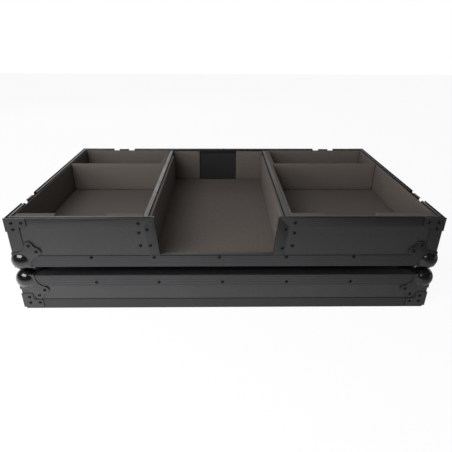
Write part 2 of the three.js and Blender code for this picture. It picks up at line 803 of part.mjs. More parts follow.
// A turntable bay: a well for the deck behind a front block, then a stop and a bay for the cables
function bayFoam(outer, near, wellNear, fingerMiddle) {
  const span = (a, b, y0, y1, z0, z1) => block(Math.min(a, b), Math.max(a, b), y0, y1, z0, z1);
  const wellFar = outer - Math.sign(outer) * sideLining;
  const rearNear = near + Math.sign(outer) * rearBlock;
  const finger = fingerWidth / 2;
  let foam = span(outer, near, -foamDeep, foamDeep, wallBottom, foamTop);
  foam = cut(
    foam,
    railRoom(),
    span(wellFar, wellNear, wellFront, wellRear, bedTop, rimTop),
    span(wellFar, rearNear, wellRear + rearStop, foamDeep - sideLining, bedTop, rimTop),
    block(
      fingerMiddle - finger, fingerMiddle + finger, wellFront - fingerDepth, wellFront + overrun,
      foamTop - fingerDrop, rimTop));
  const pocket = roundedRectangle(handlePanHalf + seat, handlePanRise + seat, handleCorner);
  for (const [, x, y, z, heading] of handlePlaces) {
    foam = cut(foam, prism(pocket, -handlePanDepth - seat, 0).transform(wallMatrix(x, y, z, heading)));
  }
  return foam;
}

function mixerFoam() {
  const left = dividerLeft + dividerThickness + seat;
  const right = dividerRight - dividerThickness - seat;
  const top = foamTop - dividerDrop;
  const front = liningOuter - halfDepth;
  const lining = (x0, x1, y0, y1) => block(x0, x1, y0, y1, wallBottom, top);
  const body = join(
    block(left, right, front, foamDeep, wallBottom, wallBottom + mixerPad),
    lining(left, left + mixerLining, front, foamDeep - mixerLiningStop),
    lining(right - mixerLining, right, front, foamDeep - mixerLiningStop),
    lining(left, bayCentre - bareHalf, foamDeep - sideLining, foamDeep),
    lining(bayCentre + bareHalf, right, foamDeep - sideLining, foamDeep));
  return cut(body, railRoom());
}

function lidFoam() {
  return block(-foamWide, foamWide, -foamDeep, foamDeep, lidWallTop - lidPad, lidWallTop);
}

// Finishes
const finish = (color, roughness, metalness) => new THREE.MeshStandardMaterial({ color, roughness, metalness });
const laminate = finish(0x1b1b1c, 0.55, 0);
const anodised = finish(0x232426, 0.45, 0.7);
const enamel = finish(0x0c0c0d, 0.25, 0.4);
const coated = finish(0x1a1a1b, 0.4, 0.6);
const foamed = finish(0x2b2523, 0.95, 0);
const rubber = finish(0x141414, 0.85, 0);

const coffin = new THREE.Group();
coffin.name = 'dj_coffin_case';

function add(name, body, material) {
  const mesh = new THREE.Mesh(geometryOf(body), material);
  mesh.name = name;
  coffin.add(mesh);
}

// The lid
add('lid_top_panel', floorPanel(lidHeight - panelOuter - ply), laminate);
for (const [side, wall] of Object.entries(lidPanels())) add(`lid_${side}_panel`, wall, laminate);
add('lid_edge_frame', lidEdgeFrame(), anodised);
add('lid_rim_frame', lidRimFrame(), anodised);
add('lid_foam', lidFoam(), foamed);

// The tray
add('base_floor_panel', floorPanel(baseBottom + panelOuter), laminate);
for (const [side, wall] of Object.entries(basePanels())) add(`base_${side}_panel`, wall, laminate);
add('left_divider', divider(dividerLeft), laminate);
add('right_divider', divider(dividerRight - dividerThickness), laminate);
add('base_edge_frame', baseEdgeFrame(), anodised);
for (const [place, rail] of Object.entries(baseRails())) add(`rim_rail_${place}`, rail, anodised);
add('notch_cap_left', notchCap(-1), anodised);
add('notch_cap_right', notchCap(1), anodised);
add('left_bay_foam', bayFoam(-foamWide, dividerLeft - seat, dividerLeft - seat, dividerLeft - fingerInset), foamed);
const rightWell = dividerRight + seat + rightDividerLining;
add('right_bay_foam', bayFoam(foamWide, dividerRight + seat, rightWell, dividerRight + fingerInset), foamed);
add('mixer_bay_foam', mixerFoam(), foamed);

for (const [sideX, sideY, place] of corners) {
  const mirrored = (body) => {
    const acrossX = sideX > 0 ? body.mirror([1, 0, 0]) : body;
    return sideY > 0 ? acrossX.mirror([0, 1, 0]) : acrossX;
  };
  const corner = mirrored(ballCorner());
  const spot = [sideX * halfWidth, sideY * halfDepth];
  add(`base_ball_corner_${place}`, corner.translate([...spot, baseBottom]), enamel);
  add(`lid_ball_corner_${place}`, corner.mirror([0, 0, 1]).translate([...spot, lidHeight]), enamel);
}

for (const [place, x, y, heading] of latchPlaces) {
  const atRim = wallMatrix(x, y, rimTop, heading);
  const atRotor = wallMatrix(x, y, rimTop - rotorDrop, heading);
  add(`latch_dish_${place}`, latchDish().transform(atRim), coated);
  add(`latch_hook_${place}`, latchHook().transform(atRim), coated);
  add(`latch_rotor_${place}`, latchRotor().transform(atRotor), coated);
  add(`latch_upper_leaf_${place}`, latchLeaf(knuckleNear).transform(atRotor), coated);
  add(`latch_lower_leaf_${place}`, latchLeaf(knuckleFar).mirror([0, 1, 0]).transform(atRotor), coated);
}

for (const [place, x, y, z, heading] of handlePlaces) {
  const frame = wallMatrix(x, y, z, heading);
  add(`handle_dish_${place}`, handleDish().transform(frame), coated);
  add(`handle_bail_${place}`, handleBail().transform(frame), coated);
  add(`handle_grip_${place}`, handleGrip().transform(frame), rubber);
}

export default coffin;
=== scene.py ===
# %% [markdown]
# # A coffin case: a lid, a tray and three bays lined with foam
# The lid lies mouth down on the floor and the tray stands on it, so four ball corners of the tray rest on
# four of the lid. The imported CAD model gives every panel, profile and latch its place. This lesson adds what
# CAD leaves plain: finishes that catch the light as the real ones do, smooth ball corners, rounded edges,
# screws, rivets and soft foam.

# %% Load the frame
import json
from math import radians

import bpy
from mathutils import Matrix, Vector

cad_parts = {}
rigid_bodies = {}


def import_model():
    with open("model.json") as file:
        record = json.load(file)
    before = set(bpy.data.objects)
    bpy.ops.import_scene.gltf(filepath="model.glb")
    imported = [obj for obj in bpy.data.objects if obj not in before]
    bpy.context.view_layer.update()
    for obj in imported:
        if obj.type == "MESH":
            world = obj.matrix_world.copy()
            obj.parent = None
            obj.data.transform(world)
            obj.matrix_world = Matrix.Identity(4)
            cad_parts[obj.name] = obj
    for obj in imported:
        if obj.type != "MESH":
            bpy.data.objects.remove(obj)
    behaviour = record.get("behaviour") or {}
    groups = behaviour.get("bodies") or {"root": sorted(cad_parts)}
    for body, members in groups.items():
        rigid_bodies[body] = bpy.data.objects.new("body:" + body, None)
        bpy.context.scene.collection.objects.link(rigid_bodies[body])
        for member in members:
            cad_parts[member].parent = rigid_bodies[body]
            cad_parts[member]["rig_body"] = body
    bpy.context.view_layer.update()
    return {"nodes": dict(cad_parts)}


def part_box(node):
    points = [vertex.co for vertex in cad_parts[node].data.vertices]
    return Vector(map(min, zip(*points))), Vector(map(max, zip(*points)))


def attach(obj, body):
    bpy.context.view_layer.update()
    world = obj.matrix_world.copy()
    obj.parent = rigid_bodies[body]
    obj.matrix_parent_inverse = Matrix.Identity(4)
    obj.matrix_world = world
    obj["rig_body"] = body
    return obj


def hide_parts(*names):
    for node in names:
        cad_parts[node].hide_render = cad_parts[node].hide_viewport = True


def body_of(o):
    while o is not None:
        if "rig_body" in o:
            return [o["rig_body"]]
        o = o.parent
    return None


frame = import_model()
bpy.ops.object.select_all(action="DESELECT")
scene = bpy.context.scene
scene.view_settings.view_transform = "Standard"
MM = 0.001
LOW, HIGH = 0, 1
X, Y, Z = 0, 1, 2

# %% [markdown]
# ## The camera
# The straight edges of a box tell where a camera stood. The long edges of this case were matched to the
# picture, and the answer is a camera a metre in front of it, looking down by about 26 degrees. Its rotation
# is built from three turns: a small roll, a tilt up from looking straight down, and a small turn to the side.

# %% Camera
sensor_width, focal_length = 36.0, 32.35
camera_place = (-0.0157, -1.3564, 0.7526)
looking_down, turned_right, rolled = 25.66, 0.88, 0.28
camera_data = bpy.data.cameras.new("camera")
camera_data.sensor_width = sensor_width
camera_data.lens = focal_length
camera = bpy.data.objects.new("camera", camera_data)
scene.collection.objects.link(camera)
heading = Matrix.Rotation(radians(-turned_right), 4, "Z")
tilt = Matrix.Rotation(radians(90.0 - looking_down), 4, "X")
roll = Matrix.Rotation(radians(rolled), 4, "Z")
camera.matrix_world = Matrix.Translation(camera_place) @ heading @ tilt @ roll
scene.camera = camera
print("camera", [round(c, 4) for c in camera_place], "lens", camera_data.lens)

# %% [markdown]
# ## Floor, world and lamps
# A black object is seen by what it reflects, so what stands around it matters more than the lamps do. The
# camera sees a white floor and a white background. In mirror rays the sides of the studio are white near the
# horizon, and behind the case a white wall rises further up, which draws the light line along the rim. High
# up, and low down behind the camera, the studio is dark, as a real one is, and that darkness makes the dark
# patch on each ball. The floor takes most of its white from Light Path, so the background costs the object
# no extra light, and the shadow stays. In mirror rays the floor also carries a painted pool of light: its glow
# is brightest beside the left corners of the case and fades away from them, as lamplight does, so the panels
# grow lighter towards their lower edges and darker to the right.

# %% Helpers for materials
def new_material(name):
    material = bpy.data.materials.new(name)
    material.use_nodes = True
    material.node_tree.nodes.clear()
    return material, material.node_tree.nodes, material.node_tree.links


def set_inputs(node, values):
    for socket, value in values.items():
        node.inputs[socket].default_value = value


def calculate(nodes, links, operation, *values):
    node = nodes.new("ShaderNodeMath")
    node.operation = operation
    for socket, value in zip(node.inputs, values):
        if isinstance(value, float):
            socket.default_value = value
        else:
            links.new(value, socket)
    return node.outputs[0]


def map_range(nodes, links, value, reads, gives, smooth=False):
    """The value goes from one pair of limits to the other, in a straight or a smooth step."""
    node = nodes.new("ShaderNodeMapRange")
    node.interpolation_type = "SMOOTHSTEP" if smooth else "LINEAR"
    set_inputs(node, {"From Min": reads[0], "From Max": reads[1], "To Min": gives[0], "To Max": gives[1]})
    links.new(value, node.inputs["Value"])
    return node.outputs["Result"]


def ray_share(nodes, links, for_camera, for_mirrors):
    """One share on camera rays, another on the rays that metal and glass send out, none on the rest."""
    rays = nodes.new("ShaderNodeLightPath")
    glossy, passing = rays.outputs["Is Glossy Ray"], rays.outputs["Is Transmission Ray"]
    mirrored = calculate(nodes, links, "MAXIMUM", glossy, passing)
    seen = calculate(nodes, links, "MULTIPLY", rays.outputs["Is Camera Ray"], for_camera)
    reflected = calculate(nodes, links, "MULTIPLY", mirrored, for_mirrors)
    return calculate(nodes, links, "ADD", seen, reflected)


# %% Floor
floor_size, floor_drop = 14.0, 0.0005
bpy.ops.mesh.primitive_plane_add(size=floor_size, location=(0.0, 0.0, -floor_drop))
floor = bpy.context.object
floor.name = "studio_floor"
bpy.ops.object.select_all(action="DESELECT")

floor_paint, nodes, links = new_material("studio_floor_paint")
out = nodes.new("ShaderNodeOutputMaterial")
paint = nodes.new("ShaderNodeBsdfPrincipled")
set_inputs(paint, {"Base Color": (0.93, 0.93, 0.93, 1.0), "Roughness": 0.9, "Specular IOR Level": 0.1})
grain = nodes.new("ShaderNodeTexNoise")
set_inputs(grain, {"Scale": 30.0})
grain_bump = nodes.new("ShaderNodeBump")
set_inputs(grain_bump, {"Strength": 0.02})
links.new(grain.outputs["Fac"], grain_bump.inputs["Height"])
links.new(grain_bump.outputs["Normal"], paint.inputs["Normal"])

# %% The floor's painted pool of light, seen in mirror rays
# Folded at the middle from front to back, and drawn out along the width
glow_middle = (-0.35, 0.42, 0.0)
glow_width_share = 0.46
glow_reach, glow_peak, glow_edge = 0.8, 2.2, 0.12
white_to_camera, white_to_mirrors = 0.93, 0.8
where = nodes.new("ShaderNodeTexCoord")
floor_place = nodes.new("ShaderNodeSeparateXYZ")
links.new(where.outputs["Object"], floor_place.inputs[0])
folded = nodes.new("ShaderNodeCombineXYZ")
across = calculate(nodes, links, "MULTIPLY", floor_place.outputs["X"], glow_width_share)
links.new(across, folded.inputs["X"])
links.new(calculate(nodes, links, "ABSOLUTE", floor_place.outputs["Y"]), folded.inputs["Y"])
from_brightest = nodes.new("ShaderNodeVectorMath")
from_brightest.operation = "DISTANCE"
from_brightest.inputs[1].default_value = glow_middle
links.new(folded.outputs[0], from_brightest.inputs[0])
# Painted light: in mirror rays the floor glows like a pool of lamplight, strongest at the middle and fading
# outwards
painted_light_pool = map_range(nodes, links, from_brightest.outputs["Value"], (0.0, glow_reach), (glow_peak, glow_edge))
white = nodes.new("ShaderNodeEmission")
links.new(ray_share(nodes, links, 1.0, painted_light_pool), white.inputs["Strength"])
blend = nodes.new("ShaderNodeMixShader")
links.new(ray_share(nodes, links, white_to_camera, white_to_mirrors), blend.inputs["Fac"])
links.new(paint.outputs["BSDF"], blend.inputs[1])
links.new(white.outputs[0], blend.inputs[2])
links.new(blend.outputs[0], out.inputs["Surface"])
floor.data.materials.append(floor_paint)
print("floor", floor.name, "with", len(nodes), "shader nodes")

# %% World
soft_strength = 0.28
wall_slope, dark_slope = 0.32, 0.3
fade_height, ceiling_level = 0.30, 0.06
world = bpy.data.worlds.new("studio_world")
scene.world = world
world.use_nodes = True
nodes, links = world.node_tree.nodes, world.node_tree.links
nodes.clear()
soft_light = nodes.new("ShaderNodeBackground")
soft_light.inputs["Strength"].default_value = soft_strength
direction = nodes.new("ShaderNodeTexCoord")
split = nodes.new("ShaderNodeSeparateXYZ")
links.new(direction.outputs["Generated"], split.inputs[0])
towards_rear = calculate(nodes, links, "MAXIMUM", split.outputs["Y"], 0.0)
wall_rise = calculate(nodes, links, "MULTIPLY", towards_rear, wall_slope)
behind_camera = calculate(nodes, links, "MINIMUM", split.outputs["Y"], 0.0)
dark_front = calculate(nodes, links, "MULTIPLY", behind_camera, dark_slope)
level = calculate(nodes, links, "SUBTRACT", split.outputs["Z"], dark_front)
over_the_wall = calculate(nodes, links, "SUBTRACT", level, wall_rise)
ceiling = map_range(nodes, links, over_the_wall, (0.0, fade_height), (1.0, ceiling_level), smooth=True)
backdrop = nodes.new("ShaderNodeBackground")
strength = calculate(nodes, links, "MAXIMUM", ceiling, ray_share(nodes, links, 1.0, 0.0))
links.new(strength, backdrop.inputs["Strength"])
for light in (soft_light, backdrop):
    light.inputs["Color"].default_value = (1.0, 1.0, 1.0, 1.0)
pick = nodes.new("ShaderNodeMixShader")
out = nodes.new("ShaderNodeOutputWorld")
links.new(ray_share(nodes, links, 1.0, 1.0), pick.inputs["Fac"])
links.new(soft_light.outputs[0], pick.inputs[1])
links.new(backdrop.outputs[0], pick.inputs[2])
links.new(pick.outputs[0], out.inputs["Surface"])
print("world", world.name, "with", len(nodes), "shader nodes")

# %% [markdown]
# Three softboxes light the case. The key stands low on the left, so the front grows darker to the right as
# in the picture, and it is kept out of mirror rays, so that it draws no pale patch on the panels. The
# second hangs high in front of the left front corner and draws the highlight on the left balls. The third
# stands behind on the left and lights the top edge of the rim.

# %% Lamps
def softbox(name, location, target, width, height, power):
    lamp_data = bpy.data.lights.new(name, "AREA")
    lamp_data.shape = "RECTANGLE"
    lamp_data.size = width
    lamp_data.size_y = height
    lamp_data.energy = power
    lamp = bpy.data.objects.new(name, lamp_data)
    scene.collection.objects.link(lamp)
    lamp.location = location
    aim = Vector(target) - Vector(location)
    lamp.rotation_euler = aim.to_track_quat("-Z", "Y").to_euler()
    lamp.visible_camera = False
    return lamp


key = softbox("key_left", (-2.0, -2.0, 0.8), (-0.6, -0.5, 0.05), width=1.3, height=1.0, power=44.0)
key.visible_glossy = False
softbox("top_left", (-1.05, -1.5, 1.6), (-0.6, -0.4, 0.2), width=1.5, height=0.7, power=34.0)
softbox("rear_left", (-1.6, 3.0, 2.0), (0.0, 0.0, 0.3), width=2.4, height=1.6, power=26.0)

# %% [markdown]
# ## Finishes
# Each finish starts from the same small kit: a Principled shader, the object's own coordinates, and a noise
# that varies roughness and height. Metres are the unit, so a noise scale of 400 makes spots of about 2.5 mm.

# %% A kit for finishes
def finish(name, colour, roughness, metallic=0.0, specular=0.5):
    material, nodes, links = new_material(name)
    out = nodes.new("ShaderNodeOutputMaterial")
    shader = nodes.new("ShaderNodeBsdfPrincipled")
    set_inputs(shader, {"Base Color": (*colour, 1.0), "Roughness": roughness,
                        "Metallic": metallic, "Specular IOR Level": specular})
    coordinates = nodes.new("ShaderNodeTexCoord")
    links.new(shader.outputs["BSDF"], out.inputs["Surface"])
    return material, shader, coordinates


def noise(material, coordinates, scale, stretch=(1.0, 1.0, 1.0), detail=4.0):
    nodes, links = material.node_tree.nodes, material.node_tree.links
    mapping = nodes.new("ShaderNodeMapping")
    mapping.inputs["Scale"].default_value = stretch
    texture = nodes.new("ShaderNodeTexNoise")
    set_inputs(texture, {"Scale": scale, "Detail": detail})
    links.new(coordinates.outputs["Object"], mapping.inputs["Vector"])
    links.new(mapping.outputs["Vector"], texture.inputs["Vector"])
    return texture.outputs["Fac"]


def ramp_colour(material, shader, factor, dark, light, start=0.35, end=0.65):
    nodes, links = material.node_tree.nodes, material.node_tree.links
    ramp = nodes.new("ShaderNodeValToRGB")
    for stop, position, colour in zip(ramp.color_ramp.elements, (start, end), (dark, light)):
        stop.position = position
        stop.color = (*colour, 1.0)
    links.new(factor, ramp.inputs["Fac"])
    links.new(ramp.outputs["Color"], shader.inputs["Base Color"])


def vary_roughness(material, shader, factor, low, high):
    nodes, links = material.node_tree.nodes, material.node_tree.links
    usual_noise = (0.3, 0.7)
    links.new(map_range(nodes, links, factor, usual_noise, (low, high)), shader.inputs["Roughness"])


def raise_bumps(material, shader, factor, strength, distance):
    nodes, links = material.node_tree.nodes, material.node_tree.links
    bump = nodes.new("ShaderNodeBump")
    set_inputs(bump, {"Strength": strength, "Distance": distance})
    links.new(factor, bump.inputs["Height"])
    links.new(bump.outputs["Normal"], shader.inputs["Normal"])


# %% [markdown]
# The panels are plywood under a black plastic film with a fine leathery grain, which shows as a faint mottle.
# A small noise makes the grain, and a slower one makes the faint marks of handling.

# %% Laminate
laminate, shader, where = finish("laminated_ply_film", (0.014, 0.0135, 0.014), 0.44, specular=0.62)
grain = noise(laminate, where, scale=420.0, stretch=(0.55, 1.0, 1.0), detail=5.0)
marks = noise(laminate, where, scale=11.0)
ramp_colour(laminate, shader, grain, dark=(0.010, 0.0097, 0.010), light=(0.018, 0.0175, 0.018))
vary_roughness(laminate, shader, marks, low=0.39, high=0.49)
raise_bumps(laminate, shader, grain, strength=0.22, distance=0.0003)

# %% [markdown]
# The profiles are aluminium, anodised black with a matt skin. The dye leaves the metal dark grey with a hint
# of blue, and the matt skin spreads its reflections, so it is mostly metallic with a fine, even mottle. One
# function makes both kinds from the same metal in two tones: the rim profiles are painted a little darker than
# the edge profiles, a painted shade that stands for the floor light which reaches the edge profiles more.

# %% Anodised profiles
def anodised(name, tone, low_roughness, high_roughness):
    def tinted(share):
        return (tone * share, tone * share, tone * share * 1.04)

    metal, shader, where = finish(name, tinted(1.0), low_roughness, metallic=0.8)
    matt = noise(metal, where, scale=800.0, detail=3.0)
    ramp_colour(metal, shader, matt, dark=tinted(0.9), light=tinted(1.1))
    vary_roughness(metal, shader, noise(metal, where, scale=9.0), low_roughness, high_roughness)
    raise_bumps(metal, shader, matt, strength=0.06, distance=0.0001)
    return metal


# One metal in two tones: the lighter edge tone is painted floor light, the darker rim tone painted shade
edge_metal = anodised("black_anodised_edge_profile", 0.052, low_roughness=0.35, high_roughness=0.45)
rim_metal = anodised("black_anodised_rim_profile", 0.040, low_roughness=0.36, high_roughness=0.44)

# %% [markdown]
# The ball corners are steel under thick black enamel, whose skin has a faint orange peel, so they mirror the
# studio as a soft gloss. The latches and handles have a thinner, satin coat. The screws are blackened, not
# painted, and stay darker than the metal round them.

# %% Enamel, coated steel and screws
ball_enamel, shader, where = finish("gloss_black_enamel", (0.004, 0.004, 0.0042), 0.17, specular=0.62)
peel = noise(ball_enamel, where, scale=240.0)
mottle = noise(ball_enamel, where, scale=60.0)
ramp_colour(ball_enamel, shader, mottle, dark=(0.003, 0.003, 0.0032), light=(0.005, 0.005, 0.0053))
vary_roughness(ball_enamel, shader, noise(ball_enamel, where, scale=22.0), low=0.15, high=0.20)
raise_bumps(ball_enamel, shader, peel, strength=0.04, distance=0.0002)

coated_steel, shader, where = finish("satin_black_steel", (0.020, 0.020, 0.021), 0.34, metallic=0.2)
peel = noise(coated_steel, where, scale=700.0)
mottle = noise(coated_steel, where, scale=40.0)
ramp_colour(coated_steel, shader, mottle, dark=(0.017, 0.017, 0.018), light=(0.024, 0.024, 0.025))
vary_roughness(coated_steel, shader, noise(coated_steel, where, scale=35.0), low=0.29, high=0.40)
raise_bumps(coated_steel, shader, peel, strength=0.10, distance=0.0002)

screw_black, shader, where = finish("black_oxide_screws", (0.003, 0.003, 0.003), 0.22, specular=0.2)
mottle = noise(screw_black, where, scale=500.0)
ramp_colour(screw_black, shader, mottle, dark=(0.002, 0.002, 0.002), light=(0.005, 0.005, 0.005))
vary_roughness(screw_black, shader, noise(screw_black, where, scale=120.0), low=0.17, high=0.27)

# %% [markdown]
# Rubber and foam are matt. The foam is a dark, warm grey with open cells. Its colour ramp is wide and its
# bumps are the strongest of all, because they are the cells that the saw cut open.

# %% Rubber and foam
grip_rubber, shader, where = finish("matt_black_rubber", (0.016, 0.016, 0.016), 0.75)
speckle = noise(grip_rubber, where, scale=900.0)
ramp_colour(grip_rubber, shader, speckle, dark=(0.013, 0.013, 0.013), light=(0.024, 0.024, 0.024))
raise_bumps(grip_rubber, shader, speckle, strength=0.3, distance=0.0003)

foam_finish, shader, where = finish("open_cell_foam", (0.100, 0.087, 0.078), 0.95, specular=0.15)
cells = noise(foam_finish, where, scale=900.0, detail=3.0)
ramp_colour(foam_finish, shader, cells, dark=(0.062, 0.053, 0.047), light=(0.138, 0.120, 0.108),
            start=0.3, end=0.7)
raise_bumps(foam_finish, shader, cells, strength=0.7, distance=0.0010)

# %% [markdown]
# Every CAD node gets its finish by its name. The panels, the dividers, the edge frames and the rim frame of
# the lid have their right shape already and stay as they are. Finer pieces take the place of the others
# further down.

# %% Put the finishes on the CAD nodes
def finish_for(node):
    if "foam" in node:
        return foam_finish
    if "divider" in node or node.endswith("panel"):
        return laminate
    if "ball_corner" in node:
        return ball_enamel
    if "grip" in node:
        return grip_rubber
    if node.startswith(("latch", "handle")):
        return coated_steel
    if node.startswith(("rim_rail", "notch_cap", "lid_rim")):
        return rim_metal
    return edge_metal


for name, node in frame["nodes"].items():
    node.data.materials.clear()
    node.data.materials.append(finish_for(name))
print("nodes finished", len(frame["nodes"]))

# %% [markdown]
# ## Small helpers for modelling
# An operator acts on what is selected, so each helper first selects its piece alone. A finished piece keeps
# its object at the origin and its place in its mesh, as the CAD nodes do, and pattern coordinates then agree.
# Sizes are in millimetres, and those that the frame can tell are read from its boxes.

# %% Pick up, select, apply
def only(*pieces):
    bpy.ops.object.select_all(action="DESELECT")
    for piece in pieces:
        piece.select_set(True)
    bpy.context.view_layer.objects.active = pieces[0]


def pick_up(name):
    piece = bpy.context.object
    piece.name = name
    only(piece)
    bpy.ops.object.transform_apply(location=True, rotation=True, scale=True)
    return piece


def block(name, low, high):
    middle = [(a + b) / 2 * MM for a, b in zip(low, high)]
    bpy.ops.mesh.primitive_cube_add(size=1.0, location=middle)
    bpy.context.object.scale = [(b - a) * MM for a, b in zip(low, high)]
    return pick_up(name)


def combine(piece, other, operation):
    modifier = piece.modifiers.new("combine", "BOOLEAN")
    modifier.operation = operation
    modifier.solver = "EXACT"
    modifier.object = other
    only(piece)
    bpy.ops.object.modifier_apply(modifier="combine")
    bpy.data.objects.remove(other)


def apply_modifier(piece, kind, **settings):
    modifier = piece.modifiers.new("shape", kind)
    for key, value in settings.items():
        setattr(modifier, key, value)
    only(piece)
    bpy.ops.object.modifier_apply(modifier=modifier.name)


# %% Points, edit mode and smooth shading
def pick_points(piece, wanted):
    """Select in edit mode the vertices whose place passes the test, and stay in edit mode."""
    only(piece)
    bpy.ops.object.mode_set(mode="EDIT")
    bpy.ops.mesh.select_mode(type="VERT")
    bpy.ops.mesh.select_all(action="DESELECT")
    bpy.ops.object.mode_set(mode="OBJECT")
    for vertex in piece.data.vertices:
        vertex.select = wanted(vertex.co)
    bpy.ops.object.mode_set(mode="EDIT")


def done_editing():
    bpy.ops.object.mode_set(mode="OBJECT")


def smooth_up_to(degrees, piece):
    """Smooth shading, with an edge kept hard where its faces meet at more than the angle."""
    only(piece)
    bpy.ops.object.shade_smooth_by_angle(angle=radians(degrees))


# %% Settle a finished piece, and make mirrored or turned copies
def settle(piece, body, material, replaced=()):
    piece.data.materials.clear()
    piece.data.materials.append(material)
    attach(piece, body)
    if replaced:
        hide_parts(*replaced)
    bpy.ops.object.select_all(action="DESELECT")


def copy_of(piece, name, matrix):
    twin = bpy.data.objects.new(name, piece.data.copy())
    scene.collection.objects.link(twin)
    twin.data.transform(matrix)
    if matrix.determinant() < 0.0:
        twin.data.flip_normals()
    return twin


# %% Take a copy or a size from a CAD node
weld_distance = 0.00001


def node_copy(node, name):
    """A copy of a CAD node with its loose triangles welded, left in edit mode with all selected."""
    piece = bpy.data.objects.new(name, frame["nodes"][node].data.copy())
    scene.collection.objects.link(piece)
    pick_points(piece, lambda place: True)
    bpy.ops.mesh.remove_doubles(threshold=weld_distance)
    return piece


def level_of(node, end, axis):
    """The lowest or highest place of a CAD node along an axis, in millimetres to the tenth."""
    return round(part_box(node)[end][axis] / MM, 1)


def middle_of(node, axis):
    return round((level_of(node, LOW, axis) + level_of(node, HIGH, axis)) / 2, 1)


print("rim at", level_of("notch_cap_left", HIGH, Z), "mm")

# %% [markdown]
# ## Ball corners
# On the real case a ball corner is pressed from one sheet of steel: three lobed plates lie on the three
# faces of the corner, and a ball swells out where they meet, with a soft fillet all round it. Cutting and
# bevelling that seam is fiddly because it crosses the folded edges. Joining the plates to a fine sphere,
# remeshing them as one skin and then smoothing only the seam gives the fillet in every direction at once.

# %% The plates, taken from the frame
brace_proud = 1.6
half_x = round(level_of("base_edge_frame", HIGH, X) - brace_proud, 1)
half_y = round(level_of("base_edge_frame", HIGH, Y) - brace_proud, 1)
corner_x, corner_y, corner_z = -half_x, -half_y, level_of("base_edge_frame", LOW, Z)
lid_top = level_of("lid_edge_frame", HIGH, Z)
ball_inset, ball_radius = 18.0, 31.2
ball_centre = Vector((corner_x + ball_inset, corner_y + ball_inset, corner_z + ball_inset)) * MM
corner = node_copy("base_ball_corner_front_left", "ball_corner_model")
done_editing()
print("case", 2 * half_x, "by", 2 * half_y, "mm, tray from", corner_z, "and lid to", lid_top)

# %% The ball, joined and hollowed
into_plates, beyond_ball = 0.3, 120.0
bpy.ops.mesh.primitive_uv_sphere_add(
    segments=64, ring_count=32, radius=ball_radius * MM, location=ball_centre)
ball = pick_up("ball")
room = block("room", [level + into_plates for level in (corner_x, corner_y, corner_z)],
             [level + beyond_ball for level in (corner_x, corner_y, corner_z)])
combine(ball, room, "DIFFERENCE")
combine(corner, ball, "UNION")
print("corner faces before remeshing", len(corner.data.polygons))

# %% One skin, with the seam smoothed
voxel_size = 0.75 * MM
seam_reach = 4.2 * MM
plate_proud = 1.8
outer_side = 1.2
kept_share = 0.14
apply_modifier(corner, "REMESH", mode="VOXEL", voxel_size=voxel_size, use_smooth_shade=True)


def near_seam(place):
    from_ball = abs((place - ball_centre).length - ball_radius * MM)
    proud = [corner_x * MM - place.x, corner_y * MM - place.y, corner_z * MM - place.z]
    off_plate = min(abs(depth - plate_proud * MM) for depth in proud)
    return from_ball < seam_reach and off_plate < seam_reach and max(proud) > outer_side * MM


pick_points(corner, near_seam)
bpy.ops.mesh.vertices_smooth(factor=0.6, repeat=14)
bpy.ops.mesh.select_all(action="SELECT")
bpy.ops.mesh.vertices_smooth(factor=0.5, repeat=2)
done_editing()
apply_modifier(corner, "DECIMATE", ratio=kept_share)
smooth_up_to(50.0, corner)
print("corner triangles", len(corner.data.polygons))

# %% Eight corners from one
tray_up = Matrix.Identity(4)
# The lid is the other way up: a mirror halfway between the outer faces that the two corners wrap
mirror_lift = (corner_z + lid_top) * MM
lid_down = Matrix.Translation((0.0, 0.0, mirror_lift)) @ Matrix.Diagonal((1.0, 1.0, -1.0, 1.0))
plan_turns = {"front_left": (1, 1), "front_right": (-1, 1), "rear_right": (-1, -1), "rear_left": (1, -1)}
for part, body, stand in (("base", "tray", tray_up), ("lid", "lid", lid_down)):
    for spot, (side_x, side_y) in plan_turns.items():
        mirror_in_plan = Matrix.Diagonal((side_x, side_y, 1.0, 1.0))
        twin = copy_of(corner, f"{part}_ball_corner_pressed_{spot}", mirror_in_plan @ stand)
        settle(twin, body, ball_enamel, [f"{part}_ball_corner_{spot}"])
bpy.data.objects.remove(corner)

# %% [markdown]
# ## Pressed and extruded parts with their edges broken
# The frame's metal parts have knife edges. A real extrusion has a small radius on its lip, and a pressed
# dish or a leaf is rounded where the tool bent it. Those radii draw the thin light lines that outline black
# parts. Each part is a copy of its node: welded, its flat triangles dissolved, then bevelled at every hard
# corner. On the rim profiles the lip's small bevel is first widened, because that line is the one seen most.

# %% A welded copy, and a broad bevel for the lip of a rim profile
flat_enough = radians(2.0)


def welded_copy(node):
    piece = node_copy(node, f"{node}_rounded")
    bpy.ops.mesh.dissolve_limited(angle_limit=flat_enough)
    done_editing()
    return piece


rim_level = level_of("rim_rail_rear_right", HIGH, Z)
rim_halves = [level_of("rim_rail_rear_right", HIGH, axis) for axis in (X, Y)]
frame_bevel = 0.4
eased_in, eased_down = 0.5, 0.7


def is_near(length, millimetres):
    return abs(length / MM - millimetres) < 0.05


def ease_lip(piece):
    """The frame's small bevel on the lip's outer edge grows inwards and down, to catch more light."""
    pick_points(piece, lambda place: is_near(place.z, rim_level - frame_bevel) and any(
        is_near(abs(place[axis]), half) for axis, half in enumerate(rim_halves)))
    bpy.ops.transform.translate(value=(0.0, 0.0, -eased_down * MM))
    done_editing()
    for axis, half in enumerate(rim_halves):
        pick_points(piece, lambda place: is_near(place.z, rim_level) and is_near(
            abs(place[axis]), half - frame_bevel))
        shrink = [1.0, 1.0, 1.0]
        shrink[axis] = (half - frame_bevel - eased_in) / (half - frame_bevel)
        bpy.ops.transform.resize(value=shrink, center_override=(0.0, 0.0, 0.0))
        done_editing()


# %% Round every hard corner
hard_corner = 35.0
edge_radius = 0.5


